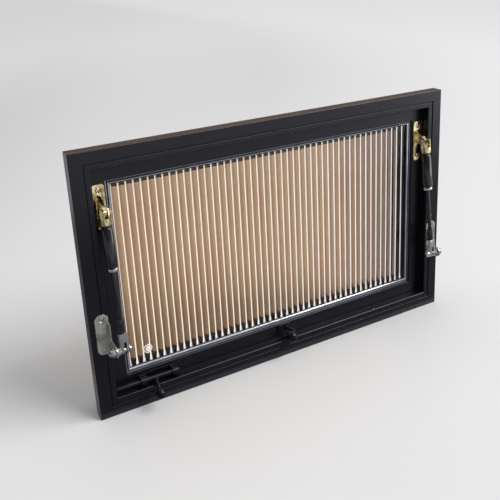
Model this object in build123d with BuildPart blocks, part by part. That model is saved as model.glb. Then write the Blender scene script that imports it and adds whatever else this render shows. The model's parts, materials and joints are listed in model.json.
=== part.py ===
"""A top-hung push-out shed window of reeded glass, seen from the room it serves.

Millimetres. +X is to the right seen from the room, +Y points outdoors and +Z is up.
The origin is on the back face of the frame's flange, in the middle of its bottom strip,
where the flange rests on the wall round the opening.
"""
from build123d import *
from math import ceil, sqrt
import os

# Frame: outer size, and its section measured from the outer edge (inset) and by depth
WIDTH = 600.0
HEIGHT = 378.0
FLANGE_DEPTH = 19.0
FLANGE_FACE = 16.5
GROOVE_WIDTH = 2.0
GROOVE_DEPTH = 1.8
LIP_INSET = 26.0
LIP_THICKNESS = 13.0
FLANGE_OVERHANG = 10.0
BOX_WALL = 12.0
BOX_DEPTH = 31.0
FRONT_ROUND = 1.0
LIP_ROUND = 1.4
GROOVE_ROUND = 0.5
MITRE_SPARE = 1.0

# Sash, seal, glass and glazing bead
SASH_GAP = 0.6
SASH_SIGHT = 47.0
SEAL_THICKNESS = 2.0
SEAL_WIDTH = 2.6
SEAL_SETBACK = 0.3
SASH_ROUND = 1.2
GLASS_SETBACK = 7.0
GLASS_BASE = 3.0
GLASS_EDGE_GAP = 1.0
FLUTE_PITCH = 10.3
FLUTE_RISE = 1.4
FLUTE_OFFSET = 2.3
OUTER_LIP_WIDTH = 6.0
OUTER_LIP_EDGE = 4.0
OUTER_LIP_SLOPE = 4.0
BEAD_WIDTH = 7.0
BEAD_THICKNESS = 3.0
BEAD_CHAMFER = 1.2
SEAT_GAP = 0.3

# Hinges on the outdoor face of the head
HINGE_INSET = 110.0
HINGE_LENGTH = 60.0
HINGE_LEAF_HEIGHT = 11.0
HINGE_LEAF_THICKNESS = 1.6
HINGE_KNUCKLE_R = 3.2
HINGE_PIN_R = 1.5
HINGE_PIN_HEAD_R = 2.3
HINGE_PIN_HEAD_LENGTH = 1.5
HINGE_KNUCKLES = 5
HINGE_PLAY = 0.3
PIN_PLAY = 0.05

# Stays: pivots are given by inset from the jamb's outer edge, by height and by reach in front of the frame
STAY_INSET = 36.0
STAY_TOP_DROP = 81.5
STAY_TOP_REACH = 6.0
STAY_SPAN = 184.5
STAY_FOOT_REACH = 26.0
BARREL_R = 8.0
BARREL_ABOVE = 8.0
BARREL_BELOW = 16.0
BARREL_CHAMFER = 1.2
BARREL_SLOT = 5.0
BODY_R = 7.6
BODY_LENGTH = 56.0
BODY_CHAMFER = 1.4
COLLAR_R = 7.0
COLLAR_LENGTH = 5.0
COLLAR_CHAMFER = 0.8
ROD_R = 3.0
RING_R = 4.2
RING_LENGTH = 2.5
RING_BELOW_TOP = 118.0
NECK_R = 4.6
NECK_LENGTH = 20.0
NECK_CHAMFER = 0.8
FORK_LENGTH = 24.0
FORK_WIDTH = 12.0
FORK_DEPTH = 10.0
FORK_SLOT = 4.0
FORK_SLOT_LENGTH = 17.0
FORK_ROUND_R = 6.8

# Top pin, and the foot's stud with its lock nut and domed nut
TOP_PIN_R = 2.5
PIN_HEAD_R = 3.6
PIN_HEAD_LENGTH = 1.2
PIN_HEAD_CHAMFER = 0.4
STUD_R = 3.0
STUD_HEAD_R = 4.6
STUD_HEAD_LENGTH = 2.4
NUT_ACROSS = 10.0
LOCK_NUT_LENGTH = 4.6
NUT_LENGTH = 5.0
NUT_DOME_R = 4.7

# Bracket on the sash: a plate with a tang that stands in the slot of the stay's barrel
SASH_PLATE_WIDTH = 17.0
SASH_PLATE_LENGTH = 65.0
SASH_PLATE_THICKNESS = 2.0
SASH_PLATE_CORNER = 4.0
SASH_SCREW_SPREAD = 49.5
TANG_PLAY = 0.2
TANG_BASE = 21.0
TANG_BASE_RISE = 8.0
TANG_TIP_R = 5.5

# Bracket on the frame: a plate with a low wall along its inner edge that rises to an ear at its foot
FOOT_PLATE_LENGTH = 58.0
FOOT_PLATE_WIDTH = 18.5
FOOT_PLATE_THICKNESS = 2.0
FOOT_PLATE_CORNER = 8.0
FOOT_PLATE_BELOW = 13.0
FOOT_SCREW_SPREAD = 45.0
FOOT_WALL_HEIGHT = 9.0
FOOT_WALL_ABOVE = 32.0
FOOT_EAR_BASE = 20.0
FOOT_EAR_TIP_R = 8.0
SCREW_HOLE_R = 2.0
SCREW_HEAD_R = 3.8

# Barrel bolt at the foot of the left stile, placed from the frame's left edge
BOLT_HEIGHT = 34.5
BOLT_STANDOFF = 8.0
BOLT_R = 3.75
BOLT_TIP_INTO_JAMB = 6.0
BOLT_TIP_CHAMFER = 1.0
BOLT_HOLE_PLAY = 0.35
BOLT_HOLE_DEPTH = 7.0
BOLT_TAIL_INSET = 120.0
BOLT_PLATE_INSET = 58.0
BOLT_PLATE_LENGTH = 65.0
BOLT_PLATE_WIDTH = 16.0
BOLT_PLATE_THICKNESS = 1.6
BOLT_PLATE_CORNER = 2.5
GUIDE_INSETS = (66.5, 113.5)
GUIDE_WIDTH = 10.0
GUIDE_WALL = 2.3
GUIDE_FOOT = 3.2
KNOB_INSET = 84.5
KNOB_R = 7.2
KNOB_STALK_R = 2.7
KNOB_STALK_OUT = 29.0
KNOB_STALK_DROP = 9.0
KNOB_STALK_SIDE = 4.5

# Pull handle at the middle of the sash's bottom rail; its neck rises one way and curls over another
HANDLE_PLATE_WIDTH = 22.0
HANDLE_PLATE_HEIGHT = 13.0
HANDLE_PLATE_THICKNESS = 2.5
HANDLE_PLATE_CORNER = 4.0
HANDLE_HEIGHT = 40.0
HANDLE_BOSS_SIDE = 4.5
HANDLE_BOSS_UP = -0.5
HANDLE_BOSS_R = 4.2
HANDLE_BOSS_LENGTH = 2.5
HANDLE_BOSS_TAPER = 12
NECK_TUBE_R = 2.3
NECK_RISE = 10.0
NECK_RISE_TOWARDS = (5, -13, 0)
NECK_CURL_TOWARDS = (-10, -2, -4)
NECK_BEND_R = 7.0
NECK_BEND_TURN = 90
PULL_KNOB_R = 8.5
PULL_KNOB_SETBACK = 4.5

# Places that follow from the sizes above
BOTTOM = -FLANGE_OVERHANG / 2
TOP = BOTTOM + HEIGHT
MIDDLE = BOTTOM + HEIGHT / 2
FRONT = -FLANGE_DEPTH
LIP_BACK = FRONT + LIP_THICKNESS
SASH_FRONT = LIP_BACK + SEAL_THICKNESS
SASH_BACK = BOX_DEPTH
LEFT = -WIDTH / 2
SASH_INSET = FLANGE_OVERHANG + BOX_WALL + SASH_GAP
GLASS_CREST = SASH_FRONT + GLASS_SETBACK
GLASS_BACK = GLASS_CREST + FLUTE_RISE + GLASS_BASE
BEAD_BACK = GLASS_CREST - SEAT_GAP
HINGE_Y = BOX_DEPTH + HINGE_KNUCKLE_R
HINGE_Z = TOP - (FLANGE_OVERHANG + BOX_WALL + SASH_GAP / 2)
STAY_TOP_Z = TOP - STAY_TOP_DROP
STAY_FOOT_Z = STAY_TOP_Z - STAY_SPAN
STAY_TOP_Y = FRONT - STAY_TOP_REACH
STAY_FOOT_Y = FRONT - STAY_FOOT_REACH
FOOT_WALL_INSET = STAY_INSET - FORK_WIDTH / 2 - LOCK_NUT_LENGTH
STAY_LENGTH = sqrt(STAY_SPAN ** 2 + (STAY_TOP_Y - STAY_FOOT_Y) ** 2)
BOLT_Y = SASH_FRONT - BOLT_STANDOFF
BOLT_Z = BOTTOM + BOLT_HEIGHT
BOLT_TIP_X = LEFT + LIP_INSET - BOLT_TIP_INTO_JAMB
HANDLE_Z = BOTTOM + HANDLE_HEIGHT

# The four edges of the window: middle of the outer edge, direction along it and its length
EDGES = {
    "left": (Vector(LEFT, 0, MIDDLE), Vector(0, 0, 1), HEIGHT),
    "right": (Vector(-LEFT, 0, MIDDLE), Vector(0, 0, -1), HEIGHT),
    "top": (Vector(0, 0, TOP), Vector(1, 0, 0), WIDTH),
    "bottom": (Vector(0, 0, BOTTOM), Vector(-1, 0, 0), WIDTH),
}
FRAME_NAMES = {
    "left": "frame_left_jamb", "right": "frame_right_jamb", "top": "frame_head", "bottom": "frame_sill",
}
SASH_NAMES = {
    "left": "sash_left_stile", "right": "sash_right_stile", "top": "sash_top_rail", "bottom": "sash_bottom_rail",
}
INWARD = Vector(0, 1, 0)


def save(part, label):
    """Labels a finished piece and writes it to its own file."""
    part.label = label
    export_step(part, "parts/" + label + ".step")


def section_plane(edge):
    """The plane of a member's section: local x runs inward from the outer edge, local y is depth."""
    middle, along, _ = EDGES[edge]
    return Plane(origin=middle, x_dir=INWARD.cross(along), z_dir=along)


def mitre(edge, reach):
    """Keeps of the current part what lies between the 45 degree mitres at the ends of one edge."""
    middle, along, length = EDGES[edge]
    with BuildSketch(Plane(origin=middle, x_dir=along, z_dir=INWARD)) as between:
        with BuildLine():
            Polyline(
                (-length / 2, 0), (length / 2, 0), (length / 2 - reach, reach), (reach - length / 2, reach),
                close=True,
            )
        make_face()
    extrude(between.sketch, amount=WIDTH, both=True, mode=Mode.INTERSECT)


def at_corner(sketch, inset, depth):
    """The section's corner that lies at one inset and depth."""
    return sketch.vertices().sort_by_distance(Vector(inset, depth, 0))[0]


def frame_member(edge):
    """One mitred side of the frame: face flange, groove, stop lip and the box that fills the opening."""
    box_inner = FLANGE_OVERHANG + BOX_WALL
    groove_end = FLANGE_FACE + GROOVE_WIDTH
    outline = [
        (0, FRONT), (FLANGE_FACE, FRONT), (FLANGE_FACE, FRONT + GROOVE_DEPTH), (groove_end, FRONT + GROOVE_DEPTH),
        (groove_end, FRONT), (LIP_INSET, FRONT), (LIP_INSET, LIP_BACK), (box_inner, LIP_BACK),
        (box_inner, BOX_DEPTH), (FLANGE_OVERHANG, BOX_DEPTH), (FLANGE_OVERHANG, 0), (0, 0),
    ]
    with BuildPart() as member:
        with BuildSketch(section_plane(edge)) as section:
            with BuildLine():
                Polyline(*outline, close=True)
            make_face()
            fillet(at_corner(section, 0, FRONT), FRONT_ROUND)
            fillet([at_corner(section, FLANGE_FACE, FRONT), at_corner(section, groove_end, FRONT)], GROOVE_ROUND)
            fillet(at_corner(section, LIP_INSET, FRONT), LIP_ROUND)
        extrude(amount=EDGES[edge][2] / 2, both=True)
        mitre(edge, LIP_INSET + MITRE_SPARE)
    return member.part


def sash_member(edge):
    """One mitred side of the sash: the face seen from the room and the sloped lip outside the glass."""
    lip_inset = SASH_SIGHT + OUTER_LIP_WIDTH
    outline = [
        (SASH_INSET, SASH_FRONT), (SASH_SIGHT, SASH_FRONT), (SASH_SIGHT, GLASS_BACK), (lip_inset, GLASS_BACK),
        (lip_inset, GLASS_BACK + OUTER_LIP_EDGE), (lip_inset - OUTER_LIP_SLOPE, SASH_BACK), (SASH_INSET, SASH_BACK),
    ]
    with BuildPart() as member:
        with BuildSketch(section_plane(edge)) as section:
            with BuildLine():
                Polyline(*outline, close=True)
            make_face()
            fillet(at_corner(section, SASH_SIGHT, SASH_FRONT), SASH_ROUND)
        extrude(amount=EDGES[edge][2] / 2, both=True)
        mitre(edge, lip_inset + MITRE_SPARE)
    return member.part


def strip_member(edge, inset, width, front, back, chamfer_size=0.0):
    """One mitred length of a plain strip, with its front inner edge bevelled where a size is given."""
    with BuildPart() as member:
        with BuildSketch(section_plane(edge)) as section:
            with BuildLine():
                Polyline((inset, front), (inset + width, front), (inset + width, back), (inset, back), close=True)
            make_face()
            if chamfer_size:
                chamfer(at_corner(section, inset + width, front), chamfer_size)
        extrude(amount=EDGES[edge][2] / 2, both=True)
        mitre(edge, inset + width + MITRE_SPARE)
    return member.part


def reeded_glass():
    """The pane: round ribs on its room face from top to bottom, cut off where the pane's sides fall."""
    width = WIDTH - 2 * (SASH_SIGHT + GLASS_EDGE_GAP)
    ribs = ceil(width / FLUTE_PITCH) + 1
    valley = GLASS_CREST + FLUTE_RISE
    first = FLUTE_OFFSET - ribs * FLUTE_PITCH / 2
    last = first + ribs * FLUTE_PITCH
    with BuildPart() as pane:
        with BuildSketch(Plane.XY.offset(BOTTOM + SASH_SIGHT + GLASS_EDGE_GAP)):
            with BuildLine():
                for number in range(ribs):
                    left = first + number * FLUTE_PITCH
                    middle = (left + FLUTE_PITCH / 2, GLASS_CREST)
                    ThreePointArc((left, valley), middle, (left + FLUTE_PITCH, valley))
                Polyline((last, valley), (last, GLASS_BACK), (first, GLASS_BACK), (first, valley))
            make_face()
            with Locations((0, GLASS_BACK)):
                Rectangle(width, 2 * (GLASS_BACK - GLASS_CREST), mode=Mode.INTERSECT)
        extrude(amount=HEIGHT - 2 * (SASH_SIGHT + GLASS_EDGE_GAP))
    return pane.part


def along_x(*places):
    """The places given by x on the hinge's axis, turned so that a cylinder there lies along it."""
    return Locations(*[Location((x, HINGE_Y, HINGE_Z), (0, 90, 0)) for x in places])


def hinge_leaf(centre_x, on_frame):
    """One leaf of a butt hinge with its own knuckles, cut clear of the other leaf's knuckles."""
    step = HINGE_LENGTH / HINGE_KNUCKLES
    first = centre_x - (HINGE_LENGTH - step) / 2
    knuckles = [first + number * step for number in range(HINGE_KNUCKLES)]
    own, others = (knuckles[::2], knuckles[1::2]) if on_frame else (knuckles[1::2], knuckles[::2])
    offset_z = (HINGE_LEAF_HEIGHT + HINGE_PLAY) / 2
    leaf_z = HINGE_Z + offset_z if on_frame else HINGE_Z - offset_z
    with BuildPart() as leaf:
        with Locations((centre_x, BOX_DEPTH + HINGE_LEAF_THICKNESS / 2, leaf_z)):
            Box(HINGE_LENGTH, HINGE_LEAF_THICKNESS, HINGE_LEAF_HEIGHT)
        with along_x(*others):
            Cylinder(HINGE_KNUCKLE_R + HINGE_PLAY, step, mode=Mode.SUBTRACT)
        with along_x(*own):
            Cylinder(HINGE_KNUCKLE_R, step - HINGE_PLAY)
        with along_x(centre_x):
            Cylinder(HINGE_PIN_R + PIN_PLAY, 2 * HINGE_LENGTH, mode=Mode.SUBTRACT)
    return leaf.part


def hinge_pin(centre_x):
    """The hinge's pin, with a small round head at each end."""
    head_x = (HINGE_LENGTH + HINGE_PIN_HEAD_LENGTH) / 2
    with BuildPart() as pin:
        with along_x(centre_x):
            Cylinder(HINGE_PIN_R, HINGE_LENGTH)
        with along_x(centre_x - head_x, centre_x + head_x):
            Cylinder(HINGE_PIN_HEAD_R, HINGE_PIN_HEAD_LENGTH)
    return pin.part


def stay_plane(side):
    """A stay's own plane: origin on its top pivot, local x across the window and local z down the stay."""
    x = side * (WIDTH / 2 - STAY_INSET)
    top = Vector(x, STAY_TOP_Y, STAY_TOP_Z)
    foot = Vector(x, STAY_FOOT_Y, STAY_FOOT_Z)
    return Plane(origin=top, x_dir=(1, 0, 0), z_dir=foot - top)


def side_plane(x):
    """A plane across the window at x: local x is depth and local y is height."""
    return Plane(origin=(x, 0, 0), x_dir=(0, 1, 0), z_dir=(1, 0, 0))


def face_plane(x, y, z):
    """A plane that faces the room: local x runs to the right and local y up."""
    return Plane(origin=(x, y, z), x_dir=(1, 0, 0), z_dir=(0, -1, 0))


def turned(plane, start, end, radius, chamfer_size=0.0):
    """A plain turned piece about the plane's z axis, with its ends bevelled where a size is given."""
    with BuildPart() as piece:
        with BuildSketch(plane.offset(start)):
            Circle(radius)
        extrude(amount=end - start)
        if chamfer_size:
            chamfer(piece.edges().filter_by(GeomType.CIRCLE), chamfer_size)
    return piece.part


def stay_barrel(plane):
    """The brass barrel at the stay's head: slotted for the bracket's tang, bored and sunk for the top pin."""
    with BuildPart() as barrel:
        add(turned(plane, -BARREL_ABOVE, BARREL_BELOW, BARREL_R, BARREL_CHAMFER))
        with BuildSketch(plane.offset(-BARREL_ABOVE)):
            Rectangle(BARREL_SLOT, 2 * BARREL_R)
        extrude(amount=BARREL_ABOVE + TANG_TIP_R + SEAT_GAP, mode=Mode.SUBTRACT)
        with BuildSketch(Plane(origin=plane.origin, x_dir=(0, 1, 0), z_dir=(1, 0, 0))) as bore:
            Circle(TOP_PIN_R + PIN_PLAY)
        extrude(bore.sketch, amount=BARREL_R, both=True, mode=Mode.SUBTRACT)
        for direction in (-1, 1):
            with BuildSketch(side_plane(plane.origin.X + direction * (BARREL_R - PIN_HEAD_LENGTH))):
                with Locations((plane.origin.Y, plane.origin.Z)):
                    Circle(PIN_HEAD_R + PIN_PLAY)
            extrude(amount=direction * BARREL_R, mode=Mode.SUBTRACT)
    return barrel.part


def stay_rod(plane, start, neck_start):
    """The thin rod with the small stop ring part way down, and its thicker neck at the foot."""
    with BuildPart() as rod:
        add(turned(plane, start, neck_start, ROD_R))
        add(turned(plane, RING_BELOW_TOP, RING_BELOW_TOP + RING_LENGTH, RING_R))
        add(turned(plane, neck_start, neck_start + NECK_LENGTH, NECK_R, NECK_CHAMFER))
    return rod.part


def stay_fork(plane, start):
    """The fork at the stay's foot: two prongs with round ends, bored for the stud."""
    across = Plane(origin=plane.origin, x_dir=plane.z_dir, z_dir=plane.x_dir)
    end = STAY_LENGTH + FORK_DEPTH / 2
    slot_start = end - FORK_SLOT_LENGTH
    with BuildPart() as fork:
        with BuildSketch(across):
            with Locations(((start + STAY_LENGTH) / 2, 0)):
                Rectangle(STAY_LENGTH - start, FORK_DEPTH)
            with Locations((STAY_LENGTH, 0)):
                Circle(FORK_DEPTH / 2)
        extrude(amount=FORK_WIDTH / 2, both=True)
        with BuildSketch(plane.offset(start)):
            Circle(FORK_ROUND_R)
        extrude(amount=end, mode=Mode.INTERSECT)
        with BuildSketch(plane.offset(slot_start)):
            Rectangle(FORK_SLOT, 2 * FORK_DEPTH)
        extrude(amount=end, mode=Mode.SUBTRACT)
        with BuildSketch(across):
            with Locations((STAY_LENGTH, 0)):
                Circle(STUD_R + PIN_PLAY)
        extrude(amount=FORK_WIDTH, both=True, mode=Mode.SUBTRACT)
    return fork.part


def stay_sash_bracket(side):
    """The plate screwed to the sash stile, with a tang that reaches out into the barrel's slot."""
    x = side * (WIDTH / 2 - STAY_INSET)
    with BuildPart() as bracket:
        with BuildSketch(face_plane(x, SASH_FRONT, STAY_TOP_Z)):
            RectangleRounded(SASH_PLATE_WIDTH, SASH_PLATE_LENGTH, SASH_PLATE_CORNER)
        extrude(amount=SASH_PLATE_THICKNESS)
        with Locations(face_plane(x, SASH_FRONT - SASH_PLATE_THICKNESS, STAY_TOP_Z)):
            with GridLocations(1, SASH_SCREW_SPREAD, 1, 2):
                CounterSinkHole(SCREW_HOLE_R, SCREW_HEAD_R, SASH_PLATE_THICKNESS)
        with BuildSketch(side_plane(x)):
            with Locations((SASH_FRONT - SASH_PLATE_THICKNESS / 2, STAY_TOP_Z + TANG_BASE_RISE)):
                Rectangle(SASH_PLATE_THICKNESS, TANG_BASE)
            with Locations((STAY_TOP_Y, STAY_TOP_Z)):
                Circle(TANG_TIP_R)
            make_hull()
            with Locations((STAY_TOP_Y, STAY_TOP_Z)):
                Circle(TOP_PIN_R + PIN_PLAY, mode=Mode.SUBTRACT)
        extrude(amount=BARREL_SLOT / 2 - TANG_PLAY, both=True)
    return bracket.part


def stay_frame_bracket(side):
    """The plate screwed to the frame's face, with a wall along its inner edge that rises to the foot's ear."""
    inner = side * (WIDTH / 2 - FOOT_WALL_INSET)
    plate_x = inner + side * FOOT_PLATE_WIDTH / 2
    plate_z = STAY_FOOT_Z - FOOT_PLATE_BELOW + FOOT_PLATE_LENGTH / 2
    with BuildPart() as bracket:
        with BuildSketch(face_plane(plate_x, FRONT, plate_z)):
            RectangleRounded(FOOT_PLATE_WIDTH, FOOT_PLATE_LENGTH, FOOT_PLATE_CORNER)
            with Locations((-side * FOOT_PLATE_WIDTH / 4, 0)):
                Rectangle(FOOT_PLATE_WIDTH / 2, FOOT_PLATE_LENGTH - FOOT_PLATE_CORNER)
        extrude(amount=FOOT_PLATE_THICKNESS)
        with Locations(face_plane(plate_x, FRONT - FOOT_PLATE_THICKNESS, plate_z)):
            with GridLocations(1, FOOT_SCREW_SPREAD, 1, 2):
                CounterSinkHole(SCREW_HOLE_R, SCREW_HEAD_R, FOOT_PLATE_THICKNESS)
        with BuildSketch(side_plane(inner)):
            with Locations((FRONT - FOOT_PLATE_THICKNESS / 2, STAY_FOOT_Z)):
                Rectangle(FOOT_PLATE_THICKNESS, FOOT_EAR_BASE)
            with Locations((STAY_FOOT_Y, STAY_FOOT_Z)):
                Circle(FOOT_EAR_TIP_R)
            make_hull()
            with Locations((FRONT - FOOT_WALL_HEIGHT / 2, STAY_FOOT_Z + FOOT_WALL_ABOVE / 2)):
                Rectangle(FOOT_WALL_HEIGHT, FOOT_WALL_ABOVE)
            with Locations((STAY_FOOT_Y, STAY_FOOT_Z)):
                Circle(STUD_R + PIN_PLAY, mode=Mode.SUBTRACT)
        extrude(amount=side * FOOT_PLATE_THICKNESS)
    return bracket.part


def top_pin(side):
    """The pin through the barrel and the tang, with a flat head sunk into each side of the barrel."""
    x = side * (WIDTH / 2 - STAY_INSET)
    across = Plane(origin=(x, STAY_TOP_Y, STAY_TOP_Z), x_dir=(0, 1, 0), z_dir=(1, 0, 0))
    reach = BARREL_R - PIN_HEAD_LENGTH
    with BuildPart() as pin:
        with BuildSketch(across):
            Circle(TOP_PIN_R)
        extrude(amount=reach, both=True)
        for direction in (-1, 1):
            with BuildSketch(across.offset(direction * reach)):
                Circle(PIN_HEAD_R)
            extrude(amount=direction * PIN_HEAD_LENGTH)
        ends = pin.faces().sort_by(Axis.X)
        chamfer(ends[0].edges() + ends[-1].edges(), PIN_HEAD_CHAMFER)
    return pin.part


def foot_pin(side):
    """The stud at the foot: head inside the fork, lock nut between fork and ear, domed nut outside the ear."""
    start_x = side * (WIDTH / 2 - STAY_INSET - FORK_WIDTH / 2)
    start = Plane(origin=(start_x, STAY_FOOT_Y, STAY_FOOT_Z), x_dir=(0, 1, 0), z_dir=(side, 0, 0))
    ear_end = FORK_WIDTH + LOCK_NUT_LENGTH + FOOT_PLATE_THICKNESS
    dome_start = ear_end + NUT_LENGTH
    dome_end = dome_start + NUT_DOME_R
    with BuildPart() as pin:
        with BuildSketch(start):
            Circle(STUD_R)
        extrude(amount=dome_start)
        with BuildSketch(start):
            Circle(STUD_HEAD_R)
        extrude(amount=-STUD_HEAD_LENGTH)
        for nut_start, nut_length in ((FORK_WIDTH, LOCK_NUT_LENGTH), (ear_end, NUT_LENGTH)):
            with BuildSketch(start.offset(nut_start)):
                RegularPolygon(NUT_ACROSS / 2, 6, major_radius=False)
            extrude(amount=nut_length)
        with BuildSketch(Plane(origin=start.origin, x_dir=start.z_dir, z_dir=(0, 0, 1))):
            with BuildLine():
                JernArc((dome_end, 0), (0, 1), NUT_DOME_R, 90)
                Polyline((dome_start, NUT_DOME_R), (dome_start, 0), (dome_end, 0))
            make_face()
        revolve(axis=Axis(start.origin, start.z_dir))
    return pin.part


def bolt_base():
    """The barrel bolt's plate, with two arched guides that the bolt runs through."""
    centre_x = LEFT + BOLT_PLATE_INSET + BOLT_PLATE_LENGTH / 2
    guide_r = BOLT_R + GUIDE_WALL
    foot_y = SASH_FRONT - BOLT_PLATE_THICKNESS - GUIDE_FOOT / 2
    with BuildPart() as base:
        with BuildSketch(face_plane(centre_x, SASH_FRONT, BOLT_Z)):
            RectangleRounded(BOLT_PLATE_LENGTH, BOLT_PLATE_WIDTH, BOLT_PLATE_CORNER)
        extrude(amount=BOLT_PLATE_THICKNESS)
        for inset in GUIDE_INSETS:
            with BuildSketch(side_plane(LEFT + inset)):
                with Locations((BOLT_Y, BOLT_Z)):
                    Circle(guide_r)
                with Locations(((BOLT_Y + SASH_FRONT) / 2, BOLT_Z)):
                    Rectangle(BOLT_STANDOFF, 2 * guide_r)
                with Locations((foot_y, BOLT_Z)):
                    Rectangle(GUIDE_FOOT, BOLT_PLATE_WIDTH)
            extrude(amount=GUIDE_WIDTH / 2, both=True)
        with BuildSketch(side_plane(centre_x)):
            with Locations((BOLT_Y, BOLT_Z)):
                Circle(BOLT_R + PIN_PLAY)
        extrude(amount=BOLT_PLATE_LENGTH, both=True, mode=Mode.SUBTRACT)
    return base.part


def bolt_rod():
    """The sliding bolt with its stalk and ball knob, shot into the left jamb."""
    root = Vector(LEFT + KNOB_INSET, BOLT_Y, BOLT_Z)
    stalk = Vector(-KNOB_STALK_SIDE, -KNOB_STALK_OUT, -KNOB_STALK_DROP)
    with BuildPart() as rod:
        with BuildSketch(side_plane(BOLT_TIP_X)):
            with Locations((BOLT_Y, BOLT_Z)):
                Circle(BOLT_R)
        extrude(amount=LEFT + BOLT_TAIL_INSET - BOLT_TIP_X)
        chamfer(rod.edges().filter_by(GeomType.CIRCLE), BOLT_TIP_CHAMFER)
        with BuildSketch(Plane(origin=root, z_dir=stalk)):
            Circle(KNOB_STALK_R)
        extrude(amount=stalk.length)
        with Locations(root + stalk):
            Sphere(KNOB_R)
    return rod.part


def handle_boss_plane():
    """The plane on the handle's plate that its boss and neck rise from."""
    return face_plane(HANDLE_BOSS_SIDE, SASH_FRONT - HANDLE_PLATE_THICKNESS, HANDLE_Z + HANDLE_BOSS_UP)


def handle_base():
    """The pull handle's plate with a round boss for its neck."""
    with BuildPart() as base:
        with BuildSketch(face_plane(0, SASH_FRONT, HANDLE_Z)):
            RectangleRounded(HANDLE_PLATE_WIDTH, HANDLE_PLATE_HEIGHT, HANDLE_PLATE_CORNER)
        extrude(amount=HANDLE_PLATE_THICKNESS)
        with BuildSketch(handle_boss_plane()):
            Circle(HANDLE_BOSS_R)
        extrude(amount=HANDLE_BOSS_LENGTH, taper=HANDLE_BOSS_TAPER)
    return base.part


def handle_neck():
    """The swan neck that rises from the boss, curls over and ends in a ball, cut flat where it seats."""
    seat = handle_boss_plane().offset(HANDLE_BOSS_LENGTH)
    rise = Vector(NECK_RISE_TOWARDS)
    bend_plane = Plane(origin=seat.origin, x_dir=rise, z_dir=rise.cross(Vector(NECK_CURL_TOWARDS)))
    with BuildPart() as neck:
        with BuildLine(bend_plane) as path:
            line = Line((-NECK_TUBE_R, 0), (NECK_RISE, 0))
            JernArc(line @ 1, line % 1, NECK_BEND_R, NECK_BEND_TURN)
        wire = path.wires()[0]
        with BuildSketch(Plane(origin=wire @ 0, z_dir=rise)):
            Circle(NECK_TUBE_R)
        sweep(path=wire)
        split(bisect_by=seat, keep=Keep.TOP)
        with Locations(wire @ 1 + (wire % 1) * PULL_KNOB_SETBACK):
            Sphere(PULL_KNOB_R)
    return neck.part


def frame_parts():
    """The frame's four sides, with the bolt's hole in the left jamb."""
    for edge, label in FRAME_NAMES.items():
        member = frame_member(edge)
        if edge == "left":
            with BuildPart() as bored:
                add(member)
                with BuildSketch(side_plane(LEFT + LIP_INSET)):
                    with Locations((BOLT_Y, BOLT_Z)):
                        Circle(BOLT_R + BOLT_HOLE_PLAY)
                extrude(amount=-BOLT_HOLE_DEPTH, mode=Mode.SUBTRACT)
            member = bored.part
        save(member, label)


def sash_parts():
    """The sash's four sides with the seal they close on, the pane and the bead that holds it."""
    for edge, label in SASH_NAMES.items():
        save(sash_member(edge), label)
        seal_inset = SASH_INSET + SEAL_SETBACK
        save(strip_member(edge, seal_inset, SEAL_WIDTH, LIP_BACK, SASH_FRONT), "seal_" + edge)
        bead_front = BEAD_BACK - BEAD_THICKNESS
        bead = strip_member(edge, SASH_SIGHT, BEAD_WIDTH, bead_front, BEAD_BACK, BEAD_CHAMFER)
        save(bead, "glazing_bead_" + edge)
    save(reeded_glass(), "reeded_glass")


def hinge_parts():
    """Two butt hinges, spread along the head."""
    for name, side in (("left", -1), ("right", 1)):
        centre_x = side * (WIDTH / 2 - HINGE_INSET)
        save(hinge_leaf(centre_x, True), "hinge_" + name + "_frame_leaf")
        save(hinge_leaf(centre_x, False), "hinge_" + name + "_sash_leaf")
        save(hinge_pin(centre_x), "hinge_" + name + "_pin")


def stay_parts():
    """A stay at each side: bracket on the sash, barrel, body, collar, rod, fork and bracket on the frame."""
    body_end = BARREL_BELOW + BODY_LENGTH
    collar_end = body_end + COLLAR_LENGTH
    fork_start = STAY_LENGTH - FORK_LENGTH
    for name, side in (("left", -1), ("right", 1)):
        stem = "stay_" + name + "_"
        plane = stay_plane(side)
        save(stay_sash_bracket(side), stem + "sash_bracket")
        save(top_pin(side), stem + "top_pin")
        save(stay_barrel(plane), stem + "top_fitting")
        save(turned(plane, BARREL_BELOW, body_end, BODY_R, BODY_CHAMFER), stem + "body")
        save(turned(plane, body_end, collar_end, COLLAR_R, COLLAR_CHAMFER), stem + "collar")
        save(stay_rod(plane, collar_end, fork_start - NECK_LENGTH), stem + "rod")
        save(stay_fork(plane, fork_start), stem + "foot_fitting")
        save(foot_pin(side), stem + "foot_pin")
        save(stay_frame_bracket(side), stem + "frame_bracket")


os.makedirs("parts", exist_ok=True)
frame_parts()
sash_parts()
hinge_parts()
stay_parts()
save(bolt_base(), "bolt_base")
save(bolt_rod(), "bolt_rod")
save(handle_base(), "handle_base")
save(handle_neck(), "handle_neck")
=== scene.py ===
"""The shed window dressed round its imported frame: paint, ribbed glass, beads, fittings, floor and light.

Metres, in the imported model's own frame: +X to the right seen from the room, +Y outdoors, +Z up.
"""

import json
import logging
import math
from dataclasses import dataclass
from enum import Enum
from typing import Iterable, Sequence, Union

import bmesh
import bpy
from mathutils import Matrix, Vector

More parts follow.
